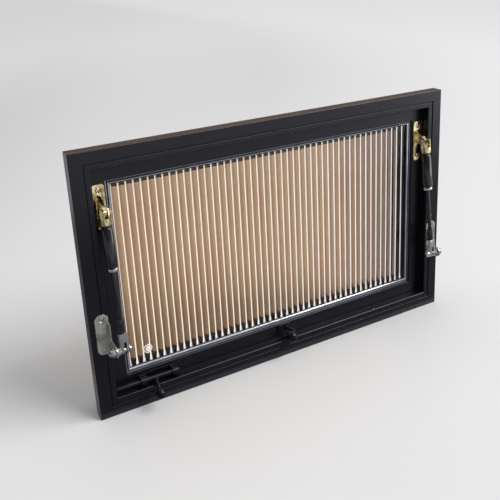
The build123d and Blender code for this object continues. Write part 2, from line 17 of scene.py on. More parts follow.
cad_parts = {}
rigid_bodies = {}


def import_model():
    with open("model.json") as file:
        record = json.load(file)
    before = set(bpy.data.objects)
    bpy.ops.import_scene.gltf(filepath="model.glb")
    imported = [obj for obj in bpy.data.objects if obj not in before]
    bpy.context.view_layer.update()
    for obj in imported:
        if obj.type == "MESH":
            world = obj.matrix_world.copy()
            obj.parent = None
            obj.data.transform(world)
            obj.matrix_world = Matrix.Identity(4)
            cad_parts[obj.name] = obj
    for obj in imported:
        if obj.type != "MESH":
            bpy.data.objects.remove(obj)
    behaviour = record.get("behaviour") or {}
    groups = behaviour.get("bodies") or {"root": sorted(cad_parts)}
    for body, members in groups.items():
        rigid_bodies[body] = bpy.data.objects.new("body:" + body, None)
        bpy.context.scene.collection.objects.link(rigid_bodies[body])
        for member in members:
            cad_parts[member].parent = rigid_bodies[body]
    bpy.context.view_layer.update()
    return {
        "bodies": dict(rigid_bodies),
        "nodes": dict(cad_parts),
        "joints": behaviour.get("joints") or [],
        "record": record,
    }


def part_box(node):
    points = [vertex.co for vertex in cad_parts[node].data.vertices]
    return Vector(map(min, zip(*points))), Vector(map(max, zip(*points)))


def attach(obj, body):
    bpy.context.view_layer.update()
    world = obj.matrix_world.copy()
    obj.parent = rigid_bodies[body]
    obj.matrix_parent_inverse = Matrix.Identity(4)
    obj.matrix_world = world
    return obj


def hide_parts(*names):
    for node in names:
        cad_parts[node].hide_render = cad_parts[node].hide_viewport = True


LOG = logging.getLogger("shed_window")
WINDOW = "window"
CRISP = 38.0
ROOM = Vector((0.0, -1.0, 0.0))
OUTDOORS = Vector((0.0, 1.0, 0.0))

Point = tuple[float, float]
Triple = tuple[float, float, float]
Colour = Triple
Value = Union[float, Sequence[float], "Socket"]


class Side(Enum):
    """The four sides of the window seen from the room."""

    LEFT = "left"
    RIGHT = "right"
    TOP = "top"
    BOTTOM = "bottom"


class Hand(Enum):
    """Which of a mirrored pair a fitting is, by the sign of its X."""

    LEFT = -1
    RIGHT = 1

    @property
    def word(self) -> str:
        """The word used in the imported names."""
        return self.name.lower()


class Socket:
    """An output socket that takes part in Python sums: every operator adds a Math node."""

    def __init__(self, network: "Network", link: bpy.types.NodeSocket) -> None:
        """Keeps the network and the socket that the sums start from."""
        self.network = network
        self.link = link

    def math(self, operation: str, *values: Value) -> "Socket":
        """The result of one Math node with these values as its inputs, in order."""
        return self.network.add("ShaderNodeMath", {"operation": operation}, dict(enumerate(values)))

    def __add__(self, other: Value) -> "Socket":
        """This plus the other."""
        return self.math("ADD", self, other)

    __radd__ = __add__

    def __sub__(self, other: Value) -> "Socket":
        """This less the other."""
        return self.math("SUBTRACT", self, other)

    def __rsub__(self, other: Value) -> "Socket":
        """The other less this."""
        return self.math("SUBTRACT", other, self)

    def __mul__(self, other: Value) -> "Socket":
        """This times the other."""
        return self.math("MULTIPLY", self, other)

    __rmul__ = __mul__

    def __truediv__(self, other: Value) -> "Socket":
        """This over the other."""
        return self.math("DIVIDE", self, other)

    def __abs__(self) -> "Socket":
        """The size of this, without its sign."""
        return self.math("ABSOLUTE", self)

    def above(self, edge: Value) -> "Socket":
        """1 where this is greater than the edge, else 0."""
        return self.math("GREATER_THAN", self, edge)

    def largest(self, other: Value) -> "Socket":
        """The greater of this and the other."""
        return self.math("MAXIMUM", self, other)

    def fraction(self) -> "Socket":
        """What is left of this after its whole part."""
        return self.math("FRACT", self)

    def between(self, low: float, high: float) -> "Socket":
        """Runs smoothly from 0 at low to 1 at high, and stays there."""
        inputs = {"Value": self, "From Min": low, "From Max": high}
        return self.network.add("ShaderNodeMapRange", {"interpolation_type": "SMOOTHSTEP"}, inputs)


class Network:
    """One material's or world's node tree."""

    def __init__(self, tree: bpy.types.NodeTree) -> None:
        """Clears the tree that the finish is built in."""
        self.tree = tree
        self.tree.nodes.clear()

    def add(self, kind: str, settings: dict, inputs: dict, output: int | str = 0) -> Socket:
        """Adds one node of any kind.

        Args:
            kind: The node's type.
            settings: Its properties, set first.
            inputs: Values or sockets by the name or number of the input.
            output: The output that is wanted.

        Returns:
            That output.
        """
        node = self.tree.nodes.new(kind)
        for name, setting in settings.items():
            setattr(node, name, setting)
        for name, value in inputs.items():
            if isinstance(value, Socket):
                self.tree.links.new(value.link, node.inputs[name])
            else:
                node.inputs[name].default_value = value
        return Socket(self, node.outputs[output]) if node.outputs else None

    def place(self) -> Socket:
        """The point's place in the window's frame, in metres."""
        return self.add("ShaderNodeTexCoord", {}, {}, "Object")

    def axis(self, vector: Socket, letter: str) -> Socket:
        """One component of a vector."""
        return self.add("ShaderNodeSeparateXYZ", {}, {"Vector": vector}, letter)

    def stretched(self, vector: Socket, factors: Sequence[float]) -> Socket:
        """A vector with each component multiplied by its own factor."""
        return self.add("ShaderNodeVectorMath", {"operation": "MULTIPLY"}, {0: vector, 1: factors})

    def noise(self, vector: Socket, scale: float, detail: float = 3.0, roughness: float = 0.55) -> Socket:
        """Even noise from 0 to 1 with its scale in features a metre."""
        inputs = {"Vector": vector, "Scale": scale, "Detail": detail, "Roughness": roughness}
        return self.add("ShaderNodeTexNoise", {}, inputs)

    def blend(self, factor: Value, first: Value, second: Value) -> Socket:
        """The first colour at a factor of 0, which turns into the second at 1."""
        inputs = {0: factor, 6: self._paint(first), 7: self._paint(second)}
        return self.add("ShaderNodeMix", {"data_type": "RGBA"}, inputs, 2)

    @staticmethod
    def _paint(colour: Value) -> Value:
        """A colour with its alpha, or the socket as it is."""
        return colour if isinstance(colour, Socket) else (*colour, 1.0)

    def relief(self, height: Value, depth: float, strength: float) -> Socket:
        """A Bump node's normal for a height in units of the depth, in metres."""
        return self.add("ShaderNodeBump", {}, {"Strength": strength, "Distance": depth, "Height": height})

    def principled(self, **inputs: Value) -> Socket:
        """Adds the Principled shader.

        Args:
            **inputs: Values by the input's words, joined by underscores; colours need no alpha.

        Returns:
            The shader.
        """
        named = {}
        for words, value in inputs.items():
            name = " ".join(word.upper() if word == "ior" else word.capitalize() for word in words.split("_"))
            wants_alpha = name in ("Base Color", "Emission Color", "Specular Tint")
            named[name] = self._paint(value) if wants_alpha else value
        return self.add("ShaderNodeBsdfPrincipled", {}, named)

    def surface(self, shader: Socket) -> None:
        """Sends a shader to the material's surface."""
        self.add("ShaderNodeOutputMaterial", {}, {"Surface": shader})

    def paint(self, **inputs: Value) -> None:
        """Makes the whole surface one Principled shader."""
        self.surface(self.principled(**inputs))


@dataclass(frozen=True)
class Finish:
    """What every finish has: a name, and nodes that dress a surface."""

    name: str

    def material(self) -> bpy.types.Material:
        """Makes a new material with this finish.

        Returns:
            The material.
        """
        made = bpy.data.materials.new(self.name)
        made.use_nodes = True
        self.dress(Network(made.node_tree))
        return made

    def dress(self, net: Network) -> None:
        """Builds the finish's nodes; each kind of finish has its own."""
        raise NotImplementedError


@dataclass(frozen=True)
class CappedPaint(Finish):
    """Satin black foil all over, with brown woodgrain on the frame's top edge."""

    black: Colour = (0.0042, 0.0042, 0.0062)
    black_worn: Colour = (0.0085, 0.0085, 0.0110)
    wood: Colour = (0.080, 0.043, 0.021)
    wood_dark: Colour = (0.034, 0.018, 0.010)
    roughness: float = 0.27
    gloss: float = 0.42
    tint: Colour = (0.90, 0.91, 1.0)
    cap_z: float = 0.3625
    cap_y: float = -0.0176
    cap_rise: float = 0.3
    cap_roughness: float = 0.35
    grain_stretch: Triple = (9.0, 260.0, 260.0)
    grained: Point = (0.35, 0.7)
    cloud_scale: float = 14.0
    wear_scale: float = 240.0
    worn: Point = (0.58, 0.85)
    peel_scale: float = 950.0
    peel_depth: float = 0.00004

    def cap(self, net: Network, place: Socket) -> Socket:
        """Finds the upward faces along the frame's top edge.

        Args:
            net: The node tree.
            place: The point's place.

        Returns:
            1 on those faces, else 0.
        """
        turned = net.add("ShaderNodeTexCoord", {}, {}, "Normal")
        behind = net.axis(place, "Y").above(self.cap_y)
        return net.axis(place, "Z").above(self.cap_z) * behind * net.axis(turned, "Z").above(self.cap_rise)

    def dress(self, net: Network) -> None:
        """Black and woodgrain, both with a fine peel and a little wear.

        Args:
            net: The node tree.
        """
        place = net.place()
        brown = self.cap(net, place)
        along = net.noise(net.stretched(place, self.grain_stretch), 1.0, 6.0, 0.65)
        cloud = net.noise(place, self.cloud_scale)
        wear = net.noise(place, self.wear_scale, 5.0, 0.7)
        black = net.blend(wear.between(*self.worn) * 0.5, self.black, self.black_worn)
        grain = net.blend(along.between(*self.grained), self.wood_dark, self.wood)
        peel = net.noise(place, self.peel_scale, 2.0)
        uneven = (cloud - 0.5) * 0.14 + (wear - 0.5) * 0.05
        net.paint(
            base_color=net.blend(brown, black, grain),
            roughness=self.roughness + uneven + brown * self.cap_roughness,
            specular_ior_level=self.gloss,
            specular_tint=self.tint,
            normal=net.relief(peel + brown * along * 2.0, self.peel_depth, 0.3),
        )


@dataclass(frozen=True)
class Metal(Finish):
    """A plated or bare metal: two tones in clouds, a rubbed roughness and a fine tooth."""

    bright: Colour = (0.62, 0.63, 0.66)
    dull: Colour = (0.40, 0.41, 0.43)
    metallic: float = 1.0
    roughness: float = 0.22
    rub: float = 0.14
    cloud_scale: float = 90.0
    tooth_scale: float = 1500.0
    tooth_depth: float = 0.00002
    rub_scale: float = 420.0
    dulled: Point = (0.35, 0.7)
    matted: Point = (0.45, 0.8)
    matt_rise: float = 0.08

    def dress(self, net: Network) -> None:
        """Clouds of the duller tone, and a roughness that follows them and the rubbing.

        Args:
            net: The node tree.
        """
        place = net.place()
        cloud = net.noise(place, self.cloud_scale, 4.0, 0.6)
        rubbed = net.noise(place, self.rub_scale, 4.0, 0.6)
        tooth = net.noise(place, self.tooth_scale, 2.0)
        matt = cloud.between(*self.matted) * self.matt_rise
        net.paint(
            base_color=net.blend(cloud.between(*self.dulled), self.bright, self.dull),
            metallic=self.metallic,
            roughness=self.roughness + (rubbed - 0.5) * self.rub + matt,
            normal=net.relief(tooth, self.tooth_depth, 0.3),
        )


@dataclass(frozen=True)
class GlossPaint(Finish):
    """Stoved black enamel with a clear gloss, dust and small scuffs."""

    colour: Colour = (0.008, 0.008, 0.009)
    scuffed: Colour = (0.035, 0.034, 0.034)
    roughness: float = 0.16
    coat: float = 0.6
    coat_roughness: float = 0.06
    gloss: float = 0.34
    tint: Colour = (0.86, 0.92, 1.0)
    scuff_scale: float = 300.0
    scuff_span: Point = (0.64, 0.84)
    ripple_scale: float = 160.0
    ripple_depth: float = 0.00006

    def dress(self, net: Network) -> None:
        """Deep black with faint scuffs, and a slow ripple in the gloss.

        Args:
            net: The node tree.
        """
        place = net.place()
        scuff = net.noise(place, self.scuff_scale, 6.0, 0.7).between(*self.scuff_span)
        ripple = net.noise(place, self.ripple_scale, 1.0)
        net.paint(
            base_color=net.blend(scuff * 0.6, self.colour, self.scuffed),
            roughness=self.roughness + scuff * 0.2 + ripple * 0.05,
            specular_ior_level=self.gloss,
            specular_tint=self.tint,
            coat_weight=self.coat - scuff * self.coat * 0.6,
            coat_roughness=self.coat_roughness,
            normal=net.relief(ripple, self.ripple_depth, 0.3),
        )


@dataclass(frozen=True)
class Rubber(Finish):
    """Matt black sealing rubber with a pale bloom."""

    colour: Colour = (0.006, 0.006, 0.006)
    bloom: Colour = (0.020, 0.020, 0.021)
    roughness: float = 0.62
    patch_scale: float = 120.0
    patch_span: Point = (0.5, 0.75)
    tooth_scale: float = 1200.0
    tooth_depth: float = 0.00003

    def dress(self, net: Network) -> None:
        """Bloom in patches on a matt black.

        Args:
            net: The node tree.
        """
        place = net.place()
        patch = net.noise(place, self.patch_scale, 5.0).between(*self.patch_span)
        net.paint(
            base_color=net.blend(patch, self.colour, self.bloom),
            roughness=self.roughness + patch * 0.15,
            normal=net.relief(net.noise(place, self.tooth_scale), self.tooth_depth, 0.4),
        )


@dataclass(frozen=True)
class TintedReeds(Finish):
    """Bronze glass with painted shade in its tint and a painted highlight line along each valley of the
    reeds, which glows a little and widens where the reeds run into the beads.
    """

    # deep, shaded and the shade fields are painted shade: darker along one flank of each reed and towards the
    # pane's right end
    deep: Colour = (0.285, 0.180, 0.110)
    middle: Colour = (0.625, 0.425, 0.262)
    rosy: Colour = (0.610, 0.378, 0.240)
    painted_shade: Colour = (0.150, 0.105, 0.100)
    painted_shade_span: Point = (0.06, 0.242)
    # edge and the fields after it set a painted highlight line along each valley, with a faint painted glow
    edge: Colour = (1.0, 0.86, 0.70)
    highlight_far: Colour = (1.0, 0.98, 0.97)
    highlight_strength: float = 0.92
    highlight_glow: float = 0.16
    core: float = 0.050
    skirt: float = 0.135
    highlight_flare: float = 0.16
    highlight_flare_height: float = 0.011
    low_z: float = 0.048
    high_z: float = 0.320
    highlight_white_x: Point = (-0.22, 0.20)
    highlight_white_foot: Point = (0.053, 0.068)
    painted_shade_depth: float = 0.75
    highlight_roughness: float = 0.30
    streak_stretch: Triple = (420.0, 420.0, 6.0)
    patch_stretch: Triple = (26.0, 26.0, 7.0)
    ripple_stretch: Triple = (300.0, 300.0, 40.0)
    ripple_depth: float = 0.00002
    pitch: float = 0.0103
    valley_x: float = 0.0023
    roughness: float = 0.03
    ior: float = 1.5

    def body(self, net: Network, place: Socket, across: Socket) -> Socket:
        """The tint, with painted shade along one flank of each reed and over the pane's right end, rosy
        patches and drawn streaks.

        Args:
            net: The node tree.
            place: The point's place.
            across: From 0 to 1 across each reed.

        Returns:
            The tint's colour.
        """
        streak = net.noise(net.stretched(place, self.streak_stretch), 1.0, 2.0, 0.5)
        patch = net.noise(net.stretched(place, self.patch_stretch), 1.0, 2.0)
        # Painted shade: darker along one flank of each reed.
        shaded_flank = across.between(0.02, 0.80) * 0.8 + streak.between(0.3, 0.7) * 0.2
        tone = net.blend(patch.between(0.4, 0.62), self.middle, self.rosy)
        # Painted shade: darker towards the pane's right end.
        shade = net.axis(place, "X").between(*self.painted_shade_span) * self.painted_shade_depth
        return net.blend(shade, net.blend(shaded_flank, self.deep, tone), self.painted_shade)

    def line(self, net: Network, place: Socket, from_valley: Socket) -> Socket:
        """The painted highlight line along each valley, wider at the top and bottom ends of the reeds.

        Args:
            net: The node tree.
            place: The point's place.
            from_valley: Distance from the nearest valley, as a share of the pitch.

        Returns:
            How much of the line shows.
        """
        z = net.axis(place, "Z")
        # The painted highlight widens at the foot and the head of the reeds.
        foot = 1.0 - z.between(self.low_z, self.low_z + self.highlight_flare_height)
        head = z.between(self.high_z - self.highlight_flare_height * 0.5, self.high_z) * 0.5
        reach = self.skirt + (foot + head) * self.highlight_flare
        turned = net.add("ShaderNodeTexCoord", {}, {}, "Normal")
        faces_room = (0.0 - net.axis(turned, "Y")).above(0.1)
        fall = ((reach - from_valley) / (reach - self.core)).between(0.0, 1.0)
        return fall * faces_room * self.highlight_strength

    def dress(self, net: Network) -> None:
        """Clear refraction through the tint, under a painted highlight line at each valley.

        Args:
            net: The node tree.
        """
        place = net.place()
        x = net.axis(place, "X")
        across = ((x - (self.valley_x - 100 * self.pitch)) / self.pitch).fraction()
        from_valley = 0.5 - abs(across - 0.5)
        ripple = net.noise(net.stretched(place, self.ripple_stretch), 1.0, 2.0)
        glass = net.principled(
            base_color=self.body(net, place, across),
            roughness=self.roughness,
            transmission_weight=1.0,
            ior=self.ior,
            normal=net.relief(ripple, self.ripple_depth, 0.12),
        )
        # The painted highlight is whiter to the right and at the foot, and its emission makes it glow.
        foot = 1.0 - net.axis(place, "Z").between(*self.highlight_white_foot)
        pale = net.blend(x.between(*self.highlight_white_x).largest(foot), self.edge, self.highlight_far)
        painted_highlight = net.principled(
            base_color=pale,
            roughness=self.highlight_roughness,
            emission_color=pale,
            emission_strength=self.highlight_glow,
        )
        line = self.line(net, place, from_valley)
        net.surface(net.add("ShaderNodeMixShader", {}, {0: line, 1: glass, 2: painted_highlight}))


@dataclass(frozen=True)
class EtchedMark(Finish):
    """Frosted etch on the glass."""

    frost: Colour = (1.0, 0.95, 0.88)
    faded: Colour = (0.86, 0.79, 0.71)
    roughness: float = 0.7
    speckle_scale: float = 2600.0
    speckle_depth: float = 0.00002

    def dress(self, net: Network) -> None:
        """A pale frost that is thinner in places.

        Args:
            net: The node tree.
        """
        speckle = net.noise(net.place(), self.speckle_scale, 3.0)
        net.paint(
            base_color=net.blend(speckle.between(0.4, 0.7), self.frost, self.faded),
            roughness=self.roughness,
            normal=net.relief(speckle, self.speckle_depth, 0.5),
        )


@dataclass(frozen=True)
class PaleFloor(Finish):
    """A plain pale floor with a faint sheen, with painted shade that darkens it to the left and painted light
    that pales it into the distance and to the right.
    """

    colour: Colour = (0.64, 0.637, 0.638)
    left_shade_share: float = 0.84
    far_light_share: float = 1.46
    left_span: Point = (-1.15, -0.35)
    slant: float = 0.45
    far_out: Point = (0.8, 4.5)
    far_light_out_share: float = 0.75
    far_right: Point = (0.4, 3.0)
    roughness: float = 0.42
    sheen: float = 0.3
    cloud_scale: float = 3.0

    def toned(self, share: float) -> Colour:
        """The floor's colour, lighter or darker by a share."""
        return tuple(tone * share for tone in self.colour)

    def dress(self, net: Network) -> None:
        """One pale tone with the painted shade and painted light over it, and the faintest mottling in its
        sheen.

        Args:
            net: The node tree.
        """
        place = net.place()
        cloud = net.noise(place, self.cloud_scale)
        outdoors = net.axis(place, "Y")
        sideways = net.axis(place, "X")
        # Painted shade: the floor darkens to the left.
        rightwards = (sideways - outdoors * self.slant).between(*self.left_span)
        near = net.blend(rightwards, self.toned(self.left_shade_share), self.colour)
        # Painted light: the floor pales into the distance and towards the right.
        distance = outdoors.between(*self.far_out) * self.far_light_out_share
        far = distance.largest(sideways.between(*self.far_right))
        net.paint(
            base_color=net.blend(far, near, self.toned(self.far_light_share)),
            roughness=self.roughness + (cloud - 0.5) * 0.08,
            specular_ior_level=self.sheen,
        )


@dataclass(frozen=True)
class GreyCard(Finish):
    """Matt grey that shows from above alone, so that the floor under it keeps its sheen."""

    colour: Colour = (0.14, 0.145, 0.165)
    roughness: float = 0.8

    def dress(self, net: Network) -> None:
        """Grey on the upper face and nothing on the lower.

        Args:
            net: The node tree.
        """
        lower = net.add("ShaderNodeNewGeometry", {}, {}, "Backfacing")
        grey = net.principled(base_color=self.colour, roughness=self.roughness)
        clear = net.add("ShaderNodeBsdfTransparent", {}, {})
        net.surface(net.add("ShaderNodeMixShader", {}, {0: lower, 1: grey, 2: clear}))


FINISHES: tuple[Finish, ...] = (
    CappedPaint("frame_paint"),
    CappedPaint("sash_paint", roughness=0.30),
    Metal(
        "bead_metal", bright=(0.72, 0.76, 0.85), dull=(0.54, 0.58, 0.67),
        metallic=0.9, roughness=0.16, rub=0.08, cloud_scale=40.0,
    ),
    Rubber("seal_rubber"),
    TintedReeds("reeded_glass"),
    Metal("hinge_steel", bright=(0.50, 0.50, 0.50), dull=(0.30, 0.30, 0.30), roughness=0.34),
    Metal(
        "brass_plate", bright=(0.86, 0.74, 0.46), dull=(0.36, 0.28, 0.12),
        roughness=0.09, rub=0.06, cloud_scale=130.0,
    ),
    GlossPaint("stay_paint"),
    Metal(
        "bright_steel", bright=(0.78, 0.78, 0.77), dull=(0.60, 0.60, 0.59),
        roughness=0.10, rub=0.08,
    ),
    Metal(
        "zinc_plate", bright=(0.62, 0.63, 0.57), dull=(0.30, 0.31, 0.28),
        metallic=0.8, roughness=0.24, rub=0.14, cloud_scale=75.0,
    ),
    GlossPaint(
        "bolt_paint", colour=(0.004, 0.004, 0.006), scuffed=(0.010, 0.010, 0.012),
        roughness=0.26, coat=0.08, gloss=0.20,
    ),
)


def placed(name: str, data: bpy.types.ID) -> bpy.types.Object:
    """Puts a new object into the scene.

    Args:
        name: Its name.
        data: Its mesh, light or camera.

    Returns:
        The object.
    """
    made = bpy.data.objects.new(name, data)
    bpy.context.scene.collection.objects.link(made)
    return made


def circle(radius: float, steps: int) -> list[Point]:
    """Points round a circle about the origin, anticlockwise."""
    turns = [2 * math.pi * step / steps for step in range(steps)]
    return [(radius * math.cos(turn), radius * math.sin(turn)) for turn in turns]


class Form:
    """A mesh in the making, in the window's frame."""

    WELD = 2e-6
    FLAT = math.radians(0.6)

    def __init__(self) -> None:
        """Starts an empty mesh."""
        self.mesh = bmesh.new()

    def ring(self, points: Iterable[Vector]) -> list[bmesh.types.BMVert]:
        """Adds one vertex for each point."""
        return [self.mesh.verts.new(point) for point in points]

    def bridge(self, first: list, second: list) -> None:
        """Joins two closed rings with quads.

        Args:
            first: One ring's vertices.
            second: As many of the other's, in the same order.
        """
        for index in range(len(first)):
            after = (index + 1) % len(first)
            self.mesh.faces.new((first[index], first[after], second[after], second[index]))

    def cap(self, ring: list) -> None:
        """Closes a ring with one face."""
        self.mesh.faces.new(ring)

    def lathe(self, profile: Sequence[Point], origin: Vector, axis: Vector, steps: int = 48) -> "Form":
        """Turns a profile about an axis.

        Args:
            profile: Radius and distance along the axis, from end to end; a radius of 0 closes an end.
            origin: Where the axis starts.
            axis: Its direction.
            steps: Corners in each ring.

        Returns:
            This form.
        """
        turn = axis.normalized().to_track_quat("Z", "X").to_matrix()
        rings = []
        for radius, along in profile:
            flat = circle(radius, steps) if radius else [(0.0, 0.0)]
            rings.append(self.ring(origin + turn @ Vector((x, y, along)) for x, y in flat))
        for first, second in zip(rings, rings[1:]):
            if len(first) == len(second):
                self.bridge(first, second)
            else:
                tip, rim = (first[0], second) if len(first) == 1 else (second[0], first)
                for index, vertex in enumerate(rim):
                    self.mesh.faces.new((vertex, rim[(index + 1) % len(rim)], tip))
        return self

    def strip(self, side: Side, opening: "Opening", section: Sequence[Point]) -> "Form":
        """Sweeps a section along one side of the window, mitred at both ends.

        Args:
            side: The side it runs along.
            opening: The outer edges that insets are measured from.
            section: Inset and depth of each corner, in order round the section.

        Returns:
            This form.
        """
        ends = []
        for end in (0, 1):
            ends.append(self.ring(opening.corner(side, end, inset, depth) for inset, depth in section))
        self.bridge(*ends)
        self.cap(ends[0][::-1])
        self.cap(ends[1])
        return self

    def copy(self, node: str) -> "Form":
        """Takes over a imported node's solid, with its flat faces in one piece again.

        Args:
            node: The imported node.

        Returns:
            This form.
        """
        self.mesh.from_mesh(bpy.data.objects[node].data)
        bmesh.ops.remove_doubles(self.mesh, verts=self.mesh.verts, dist=self.WELD)
        bmesh.ops.dissolve_limit(
            self.mesh, angle_limit=self.FLAT, verts=self.mesh.verts, edges=self.mesh.edges
        )
        return self

    def join(self, other: "Form", place: Matrix) -> None:
        """Adds a copy of another form.

        Args:
            other: The form to copy.
            place: The matrix that moves the copy.
        """
        copied = {vertex: self.mesh.verts.new(place @ vertex.co) for vertex in other.mesh.verts}
        for face in other.mesh.faces:
            self.mesh.faces.new([copied[vertex] for vertex in face.verts])

    def object(self, name: str, sharp: float = CRISP) -> bpy.types.Object:
        """Makes the finished object.

        Args:
            name: The piece's name.
            sharp: Edges that turn by more than this, in degrees, stay crisp.

        Returns:
            The object, in the scene.
        """
        bmesh.ops.recalc_face_normals(self.mesh, faces=self.mesh.faces)
        data = bpy.data.meshes.new(name)
        self.mesh.to_mesh(data)
        self.mesh.free()
        data.shade_smooth()
        data.set_sharp_from_angle(angle=math.radians(sharp))
        return placed(name, data)


@dataclass(frozen=True)
class Opening:
    """The window's outer edges, which insets are measured from."""

    half_width: float = 0.300
    bottom: float = -0.005
    top: float = 0.373

    def corner(self, side: Side, end: int, inset: float, depth: float) -> Vector:
        """A mitred corner of something that runs along one side.

        Args:
            side: The side it runs along.
            end: 0 or 1, for the side's start or its end.
            inset: Distance in from the outer edges.
            depth: Place along Y.

        Returns:
            The corner.
        """
        left, right = inset - self.half_width, self.half_width - inset
        low, high = self.bottom + inset, self.top - inset
        corners = {
            Side.LEFT: ((left, low), (left, high)),
            Side.RIGHT: ((right, high), (right, low)),
            Side.TOP: ((left, high), (right, high)),
            Side.BOTTOM: ((right, low), (left, low)),
        }
        x, z = corners[side][end]
        return Vector((x, depth, z))


class Workshop:
    """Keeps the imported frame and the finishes, and takes in each piece that is made."""

    def __init__(self, frame: dict) -> None:
        """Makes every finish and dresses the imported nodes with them.

        Args:
            frame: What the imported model's loading gave.
        """
        nodes = frame["nodes"]
        self.materials = {finish.name: finish.material() for finish in FINISHES}
        self.slots = {}
        for name, node in nodes.items():
            for holder in node.material_slots:
                self.slots[name] = holder.material.name.split(".")[0]
                holder.material = self.materials[self.slots[name]]
        LOG.info("dressed %d packed nodes", len(nodes))

    def centre(self, node: str) -> Vector:
        """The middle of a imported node's box."""
        low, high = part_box(node)
        return (low + high) / 2

    def add(self, piece: bpy.types.Object, slot: str, replaced: str = "") -> None:
        """Takes in a finished piece.

        Args:
            piece: The piece, in place.
            slot: The record's slot that it takes its finish from.
            replaced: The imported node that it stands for, if there is one.
        """
        if not piece.data.materials:
            piece.data.materials.append(self.materials[slot])
        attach(piece, WINDOW)
        if replaced:
            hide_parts(replaced)
        LOG.info("%s rides on %s with %s", piece.name, WINDOW, slot)

    def soften(self, node: str, width: float) -> None:
        """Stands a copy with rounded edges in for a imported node.

        Args:
            node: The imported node.
            width: How far the rounding reaches from each edge.
        """
        piece = Form().copy(node).object(node + "_shaped")
        bevel = piece.modifiers.new("rounded edges", "BEVEL")
        bevel.width = width
        bevel.segments = 3
        bevel.limit_method = "ANGLE"
        bevel.angle_limit = math.radians(CRISP)
        bevel.harden_normals = True
        self.add(piece, self.slots[node], node)


@dataclass(frozen=True)
class Screws:
    """Countersunk screws with a cross recess."""

    radius: float = 0.0033
    crown: float = 0.0005
    seat: float = 0.0007
    recess_reach: float = 0.0017
    recess_half: float = 0.00042
    recess_depth: float = 0.0009
    recess_taper: float = 0.75
    gap_shares: Point = (0.98, 1.16)
    corners: int = 32
    turn: float = 0.4

    def head(self) -> Form:
        """Makes one screw head that faces +Z with its rim at the origin's height.

        Returns:
            The head's form.
        """
        form = Form()
        rings = []
        for share, height in ((0.90, -self.seat), (1.0, 0.0), (0.93, self.crown * 0.55), (0.72, self.crown)):
            rim = circle(self.radius * share, self.corners)
            rings.append(form.ring(Vector((x, y, height)) for x, y in rim))
        for lower, upper in zip(rings, rings[1:]):
            form.bridge(lower, upper)
        form.cap(rings[0][::-1])
        cross = self._cross()
        brim = form.ring(Vector((x, y, self.crown)) for x, y in cross)
        floor, taper = self.crown - self.recess_depth, self.recess_taper
        foot = form.ring(Vector((x * taper, y * taper, floor)) for x, y in cross)
        form.bridge(foot, brim)
        form.cap(foot)
        self._fill_crown(form, rings[-1], brim)
        return form

    def shadow_gaps(self, places: Sequence[Vector], facing: Vector) -> Form:
        """Dark rings round the heads: painted shadow in their seats.

        Args:
            places: Where each head's rim lies.
            facing: The way that the heads face.

        Returns:
            The form with all the rings.
        """
        form = Form()
        turn = facing.to_track_quat("Z", "X").to_matrix()
        for place in places:
            loops = []
            for share in self.gap_shares:
                flat = circle(self.radius * share, self.corners)
                loops.append(form.ring(place + turn @ Vector((x, y, self.crown * 0.5)) for x, y in flat))
            form.bridge(*loops)
        return form

    def _cross(self) -> list[Point]:
        """The recess's outline.

        Returns:
            Its corners, anticlockwise.
        """
        near, far = self.recess_half, self.recess_reach
        arm = [(far, -near), (far, near), (near, near)]
        turns = [(1, 0, 0, 1), (0, -1, 1, 0), (-1, 0, 0, -1), (0, 1, -1, 0)]
        return [(a * x + b * y, c * x + d * y) for a, b, c, d in turns for x, y in arm]

    @staticmethod
    def _fill_crown(form: Form, rim: list, brim: list) -> None:
        """Fills the flat between the crown's rim and the recess.

        Args:
            form: The head in the making.
            rim: The crown's vertices.
            brim: The recess's vertices.
        """
        edges = []
        for ring in (rim, brim):
            for index, vertex in enumerate(ring):
                edges.append(form.mesh.edges.get((vertex, ring[(index + 1) % len(ring)])))
        bmesh.ops.triangle_fill(form.mesh, use_beauty=True, edges=edges)

    def row(self, places: Sequence[Vector], facing: Vector) -> Form:
        """Several screws in one form.

        Args:
            places: Where each head's rim lies.
            facing: The way that the heads face.

        Returns:
            The form with all of them, each recess turned a little from the one before.
        """
        head, form = self.head(), Form()
        aim = facing.to_track_quat("Z", "X").to_matrix().to_4x4()
        for number, place in enumerate(places):
            turned = Matrix.Rotation(self.turn * (number + 1), 4, "Z")
            form.join(head, Matrix.Translation(place) @ aim @ turned)
        head.mesh.free()
        return form


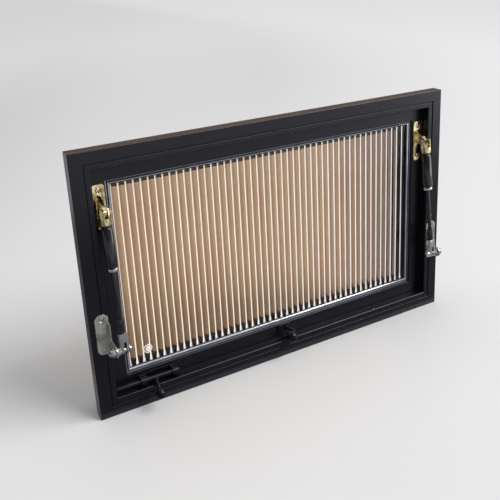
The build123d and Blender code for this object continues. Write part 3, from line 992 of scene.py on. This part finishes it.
@dataclass
class Glazing:
    """The reeded pane with its silver beads, black gaskets and etched ring."""

    shop: Workshop
    opening: Opening
    pitch: float = 0.0103
    valley_x: float = 0.0023
    crest_y: float = 0.0030
    rise: float = 0.0019
    steps: int = 24
    valley_softness: float = 0.03
    bead_section: tuple[Point, ...] = (
        (0.0470, 0.0027), (0.0470, 0.0002), (0.0472, -0.0001), (0.0482, -0.0003), (0.0484, -0.0002),
        (0.0485, 0.0018), (0.0507, 0.0018), (0.0509, -0.0003), (0.0523, 0.0001), (0.0527, 0.0006),
        (0.0530, 0.0014), (0.0530, 0.0027),
    )
    inlay_section: tuple[Point, ...] = (
        (0.0485, 0.0018), (0.0485, 0.0009), (0.0507, 0.0009), (0.0507, 0.0018),
    )
    gasket_section: tuple[Point, ...] = (
        (0.0530, 0.0028), (0.0530, 0.0017), (0.0533, 0.0014), (0.0537, 0.0016), (0.0540, 0.0020),
        (0.0540, 0.0028),
    )
    bead_crisp: float = 30.0
    pane_crisp: float = 50.0
    outer_corner: float = 0.0004
    outer_from: float = 0.0531
    outer_depths: Point = (0.0075, 0.0087)
    outer_widths: tuple[tuple[Side, float], ...] = (
        (Side.LEFT, 0.0035), (Side.RIGHT, 0.0125), (Side.TOP, 0.0065), (Side.BOTTOM, 0.0085),
    )
    ring_centre: Point = (-0.2177, 0.0680)
    rings: tuple[Point, ...] = ((0.0050, 0.0067), (0.0012, 0.0036))
    ring_steps: int = 96
    ring_bands: int = 3
    ring_proud: float = 0.00004

    def build(self) -> None:
        """Makes the pane, the beads and gaskets on all four sides, and the ring."""
        self.pane()
        for side in Side:
            bead = Form().strip(side, self.opening, self.bead_section)
            piece = bead.object("bead_" + side.value, self.bead_crisp)
            self.shop.add(piece, "bead_metal", "glazing_bead_" + side.value)
            for word, section in (("gasket_", self.gasket_section), ("inlay_", self.inlay_section)):
                rubber = Form().strip(side, self.opening, section).object(word + side.value)
                self.shop.add(rubber, "seal_rubber")
        for side, width in self.outer_widths:
            outer = Form().strip(side, self.opening, self.outer_section(width))
            self.shop.add(outer.object("outer_gasket_" + side.value), "seal_rubber")
        self.ring()

    def outer_section(self, width: float) -> list[Point]:
        """The section of the black tape that beds the pane on the sash's outdoor lip.

        Args:
            width: How wide the tape is.

        Returns:
            Inset and depth of each corner.
        """
        near, far = self.outer_from, self.outer_from + width
        front, back = self.outer_depths
        cut = self.outer_corner
        return [(near, front), (near, back), (far - cut, back), (far, back - cut), (far, front)]

    def face_y(self, x: float) -> float:
        """The reeded face: arcs that meet in softened valleys.

        Args:
            x: The place along X.

        Returns:
            Where the face lies along Y.
        """
        half = self.pitch / 2
        radius = (half**2 + self.rise**2) / (2 * self.rise)
        off_crest = ((x - self.valley_x) % self.pitch) - half
        bulge = (math.sqrt(radius**2 - off_crest**2) - (radius - self.rise)) / self.rise
        bulge = bulge * bulge / (bulge + self.valley_softness) * (1.0 + self.valley_softness)
        return self.crest_y + self.rise * (1.0 - bulge)

    def pane(self) -> None:
        """The pane: round reeds on its room face, flat on the other."""
        low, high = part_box("reeded_glass")
        step = self.pitch / self.steps
        first = math.ceil((low.x - self.valley_x) / step)
        last = math.floor((high.x - self.valley_x) / step)
        places = [low.x] + [self.valley_x + number * step for number in range(first, last + 1)] + [high.x]
        front = [(x, self.face_y(x)) for x in sorted(set(places))]
        form = Form()
        outline = front + [(high.x, high.y), (low.x, high.y)]
        ends = [form.ring(Vector((x, y, z)) for x, y in outline) for z in (low.z, high.z)]
        form.bridge(*ends)
        form.cap(ends[0][::-1])
        form.cap(ends[1])
        self.shop.add(form.object("reeded_pane", self.pane_crisp), "reeded_glass", "reeded_glass")

    def ring(self) -> None:
        """A plain etched ring and spot that lie on the reeds."""
        middle_x, middle_z = self.ring_centre
        form = Form()
        for inner, outer in self.rings:
            loops = []
            for step in range(self.ring_bands + 1):
                radius = inner + (outer - inner) * step / self.ring_bands
                flat = [(middle_x + x, middle_z + z) for x, z in circle(radius, self.ring_steps)]
                loops.append(form.ring(Vector((x, self.face_y(x) - self.ring_proud, z)) for x, z in flat))
            for first, second in zip(loops, loops[1:]):
                form.bridge(first, second)
        ring = form.object("etched_ring")
        ring.data.materials.append(EtchedMark("etched_mark").material())
        self.shop.add(ring, "reeded_glass")


@dataclass
class Stay:
    """One stay: brackets, pins and fork with their edges rounded, and a turned body, collar and rod."""

    shop: Workshop
    hand: Hand
    rounding: float = 0.00045
    sash_face: float = -0.0060
    sash_spread: float = 0.02475
    frame_face: float = -0.0210
    frame_spread: float = 0.0225
    sunk: float = 0.0006
    screw: Screws = Screws()
    crisp: float = 35.0
    body: tuple[Point, ...] = (
        (0.0, 0.0160), (0.0052, 0.0160), (0.0052, 0.0178), (0.0064, 0.0181), (0.0072, 0.0188),
        (0.0076, 0.0200), (0.0076, 0.0690), (0.0074, 0.0704), (0.0067, 0.0714), (0.0058, 0.0720),
        (0.0, 0.0720),
    )
    collar: tuple[Point, ...] = (
        (0.0, 0.0720), (0.0062, 0.0720), (0.0068, 0.0724), (0.0070, 0.0732), (0.0070, 0.0758),
        (0.0067, 0.0766), (0.0058, 0.0770), (0.0, 0.0770),
    )
    rod: tuple[Point, ...] = (
        (0.0, 0.0770), (0.0030, 0.0770), (0.0030, 0.1180), (0.0038, 0.1180), (0.0042, 0.1184),
        (0.0042, 0.1201), (0.0038, 0.1205), (0.0030, 0.1205), (0.0030, 0.1416), (0.0038, 0.1416),
        (0.0044, 0.1420), (0.0046, 0.1428), (0.0046, 0.1604), (0.0044, 0.1612), (0.0038, 0.1616),
        (0.0, 0.1616),
    )

    def named(self, piece: str) -> str:
        """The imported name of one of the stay's pieces."""
        return "stay_" + self.hand.word + "_" + piece

    def build(self) -> None:
        """Makes every piece of the stay and its screws."""
        top = self.shop.centre(self.named("top_pin"))
        foot = self.shop.centre(self.named("foot_pin"))
        down = Vector((0.0, foot.y - top.y, foot.z - top.z))
        for piece, profile in (("body", self.body), ("collar", self.collar), ("rod", self.rod)):
            node = self.named(piece)
            turned = Form().lathe(profile, top, down).object(node + "_turned", self.crisp)
            self.shop.add(turned, self.shop.slots[node], node)
        for piece in ("sash_bracket", "top_fitting", "top_pin", "foot_fitting", "foot_pin", "frame_bracket"):
            self.shop.soften(self.named(piece), self.rounding)
        self.screws(top)

    def screws(self, top: Vector) -> None:
        """Two screws in each bracket, sunk a little below the plates, with a painted shadow ring round each.

        Args:
            top: The middle of the upper pin.
        """
        plate = self.shop.centre(self.named("frame_bracket"))
        black = self.shop.slots[self.named("sash_bracket")]
        rows = (
            ("sash", Vector((top.x, self.sash_face, top.z)), self.sash_spread, black),
            ("frame", Vector((plate.x, self.frame_face, plate.z)), self.frame_spread, "bright_steel"),
        )
        for word, middle, spread, slot in rows:
            places = [middle + Vector((0.0, self.sunk, sign * spread)) for sign in (1, -1)]
            heads = self.screw.row(places, ROOM).object(self.named(word + "_screws"))
            self.shop.add(heads, slot)
            # A dark ring round each head is painted shadow in its seat.
            painted_shadows = self.screw.shadow_gaps(places, ROOM).object(self.named(word + "_shadow_rings"))
            self.shop.add(painted_shadows, "bolt_paint")


@dataclass
class Fittings:
    """Hinges, barrel bolt and ball pull."""

    shop: Workshop
    leaf_rounding: float = 0.0004
    pin_rounding: float = 0.0003
    plate_rounding: float = 0.0005
    hinge_face: float = 0.0325
    hinge_screw_spread: float = 0.0215
    hinge_screw_rise: float = 0.0070
    hinge_screw: Screws = Screws(radius=0.0024, recess_reach=0.0013, recess_half=0.0003)
    bolt_face: float = -0.0055
    bolt_screws_x: Point = (-0.2210, -0.2020)
    bolt_screw_offset: float = 0.0056
    bolt_screw: Screws = Screws(radius=0.0020, recess_reach=0.0011, recess_half=0.00028)
    pull_face: float = -0.0064
    pull_screw_offset: float = 0.00725
    pull_screw_up: float = 0.0035
    pull_screw: Screws = Screws(radius=0.0018, recess_reach=0.0010, recess_half=0.00025)

    def build(self) -> None:
        """Rounds the plates' edges and adds all the screws."""
        for hand in Hand:
            self.hinge(hand)
        self.bolt()
        self.pull()

    def hinge(self, hand: Hand) -> None:
        """One hinge with three screws in each leaf.

        Args:
            hand: Which of the two hinges.
        """
        stem = "hinge_" + hand.word + "_"
        pin = self.shop.centre(stem + "pin")
        for leaf, away in (("frame_leaf", 1), ("sash_leaf", -1)):
            self.shop.soften(stem + leaf, self.leaf_rounding)
            z = pin.z + away * self.hinge_screw_rise
            spread = [pin.x + step * self.hinge_screw_spread for step in (-1, 0, 1)]
            places = [Vector((x, self.hinge_face, z)) for x in spread]
            screws = self.hinge_screw.row(places, OUTDOORS)
            self.shop.add(screws.object(stem + leaf + "_screws"), "hinge_steel")
        self.shop.soften(stem + "pin", self.pin_rounding)

    def bolt(self) -> None:
        """The bolt's plate and guides, and its four screws."""
        self.shop.soften("bolt_base", self.plate_rounding)
        axis_z = self.shop.centre("bolt_base").z
        places = [
            Vector((x, self.bolt_face, axis_z + sign * self.bolt_screw_offset))
            for x in self.bolt_screws_x
            for sign in (-1, 1)
        ]
        self.shop.add(self.bolt_screw.row(places, ROOM).object("bolt_screws"), "bolt_paint")

    def pull(self) -> None:
        """The pull's plate and its two screws."""
        self.shop.soften("handle_base", self.plate_rounding)
        middle = self.shop.centre("handle_base")
        z = middle.z + self.pull_screw_up
        spread = [middle.x + sign * self.pull_screw_offset for sign in (-1, 1)]
        places = [Vector((x, self.pull_face, z)) for x in spread]
        screws = self.pull_screw.row(places, ROOM)
        self.shop.add(screws.object("pull_screws"), self.shop.slots["handle_base"])


@dataclass
class Fixings:
    """Small round heads in the frame's groove, which hold its two parts together."""

    shop: Workshop
    radius: float = 0.0013
    groove_y: float = -0.0172
    places: tuple[Point, ...] = (
        (-0.0030, 0.3535), (0.2850, 0.3529), (-0.2850, 0.3529),
        (-0.2850, 0.0151), (0.2850, 0.0151), (-0.0030, 0.0145),
    )
    turns: tuple[float, ...] = (0.0, 0.4, 0.8, 1.2)
    corners: int = 16

    def build(self) -> None:
        """Turns a small rounded head at each place."""
        dome = [(self.radius * math.cos(turn), self.radius * math.sin(turn)) for turn in self.turns]
        profile = [(0.0, 0.0), *dome, (0.0, self.radius)]
        form = Form()
        for x, z in self.places:
            form.lathe(profile, Vector((x, self.groove_y, z)), ROOM, self.corners)
        self.shop.add(form.object("groove_fixings"), "bright_steel")


@dataclass(frozen=True)
class Softbox:
    """One rectangular light: where it stands, the point that it faces, its size and its watts."""

    name: str
    place: Triple
    aim: Triple
    size: Point
    power: float

    def hang(self) -> None:
        """Adds the light to the scene."""
        data = bpy.data.lights.new(self.name, "AREA")
        data.shape = "RECTANGLE"
        data.size, data.size_y = self.size
        data.energy = self.power
        lamp = placed(self.name, data)
        lamp.location = self.place
        lamp.rotation_euler = (Vector(self.place) - Vector(self.aim)).to_track_quat("Z", "Y").to_euler()


@dataclass
class Studio:
    """The floor, the lights and the camera."""

    floor_z: float = -0.005
    floor_half: float = 30.0
    cards: tuple[tuple[str, Point, Point], ...] = (
        ("front_card", (-1.2, -0.80), (1.5, -0.025)),
        ("left_card", (-1.2, -0.025), (-0.33, 0.80)),
    )
    card_height: float = 0.004
    sun_from: Triple = (1.2, -1.3, 1.7)
    sun_strength: float = 2.25
    sun_spread: float = 34.0
    softboxes: tuple[Softbox, ...] = (
        Softbox("key_softbox", (2.1, -0.8, 2.5), (0.05, 0.0, 0.2), (1.0, 1.4), 26.0),
        Softbox("top_softbox", (-0.2, 0.6, 2.6), (0.0, 0.1, 0.1), (1.8, 1.4), 14.0),
        Softbox("side_softbox", (1.4, -0.75, 0.45), (0.0, 0.0, 0.2), (0.3, 1.0), 6.5),
    )
    camera_place: Triple = (-0.4858, -0.8492, 0.5988)
    camera_turn: Triple = (72.559, 2.408, -29.869)
    lens: float = 50.65
    sensor: float = 36.0
    shift: Point = (-0.036, -0.16)
    surround: float = 0.41
    surround_tint: Colour = (0.98, 0.99, 1.0)
    surround_in_gloss: float = 0.45
    gloss_sideways: Point = (0.12, 1.08)
    gloss_upward: Point = (0.7, 0.6)
    backdrop: float = 0.76

    def build(self) -> None:
        """Sets the whole studio up."""
        self.floor()
        for name, near, far in self.cards:
            self.card(name, near, far)
        self.world()
        self.daylight()
        for softbox in self.softboxes:
            softbox.hang()
        self.camera()

    def daylight(self) -> None:
        """Adds a wide, soft sun."""
        data = bpy.data.lights.new("window_light", "SUN")
        data.energy = self.sun_strength
        data.angle = math.radians(self.sun_spread)
        lamp = placed("window_light", data)
        lamp.rotation_euler = Vector(self.sun_from).to_track_quat("Z", "Y").to_euler()

    @staticmethod
    def sheet(name: str, near: Point, far: Point, height: float, finish: Finish) -> bpy.types.Object:
        """Makes a flat sheet.

        Args:
            name: Its name.
            near: Its lowest X and Y.
            far: Its highest X and Y.
            height: Its Z.
            finish: Its finish.

        Returns:
            The sheet, in the scene.
        """
        form = Form()
        corners = (near, (far[0], near[1]), far, (near[0], far[1]))
        form.cap(form.ring(Vector((x, y, height)) for x, y in corners))
        sheet = form.object(name)
        sheet.data.materials.append(finish.material())
        return sheet

    def card(self, name: str, near: Point, far: Point) -> None:
        """Lays a dark grey card over the floor that only reflections see.

        Args:
            name: The card's name.
            near: Its lowest X and Y.
            far: Its highest X and Y.
        """
        card = self.sheet(name, near, far, self.floor_z + self.card_height, GreyCard("grey_card"))
        for sight in ("camera", "diffuse", "transmission", "shadow", "volume_scatter"):
            setattr(card, "visible_" + sight, False)

    def floor(self) -> None:
        """A wide pale floor just under the window."""
        half = self.floor_half
        finish = PaleFloor("pale_floor")
        self.sheet("studio_floor", (-half, -half), (half, half), self.floor_z, finish)

    def world(self) -> None:
        """A pale surround that reflections see as brighter to the right and overhead."""
        world = bpy.data.worlds.new("studio_surround")
        world.use_nodes = True
        bpy.context.scene.world = world
        net = Network(world.node_tree)
        towards = net.add("ShaderNodeTexCoord", {}, {}, "Generated")
        sideways = net.axis(towards, "X").between(-0.9, 0.9)
        upward = net.axis(towards, "Z").between(-0.1, 0.9)
        mirrored, direct, through = (
            net.add("ShaderNodeLightPath", {}, {}, "Is " + word + " Ray")
            for word in ("Glossy", "Camera", "Transmission")
        )
        (least, more), (low, rise) = self.gloss_sideways, self.gloss_upward
        gloss = self.surround_in_gloss * (least + more * sideways) * (low + rise * upward)
        glow = self.surround + mirrored * (gloss - self.surround)
        seen = glow + direct.largest(through) * (self.backdrop - glow)
        colour = (*self.surround_tint, 1.0)
        shade = net.add("ShaderNodeBackground", {}, {"Color": colour, "Strength": seen})
        net.add("ShaderNodeOutputWorld", {}, {"Surface": shade})

    def camera(self) -> None:
        """The camera at the photograph's place, and a plain view transform."""
        data = bpy.data.cameras.new("camera")
        data.lens = self.lens
        data.sensor_width = self.sensor
        data.shift_x, data.shift_y = self.shift
        data.clip_start, data.clip_end = 0.01, 200.0
        viewer = placed("camera", data)
        viewer.location = self.camera_place
        viewer.rotation_euler = [math.radians(turn) for turn in self.camera_turn]
        bpy.context.scene.camera = viewer
        bpy.context.scene.view_settings.view_transform = "Standard"


def main() -> None:
    """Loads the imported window, dresses it and sets the studio round it."""
    logging.basicConfig(level=logging.INFO, format="%(name)s: %(message)s")
    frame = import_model()
    shop = Workshop(frame)
    Glazing(shop, Opening()).build()
    for hand in Hand:
        Stay(shop, hand).build()
    Fittings(shop).build()
    Fixings(shop).build()
    Studio().build()


if __name__ == "__main__":
    main()
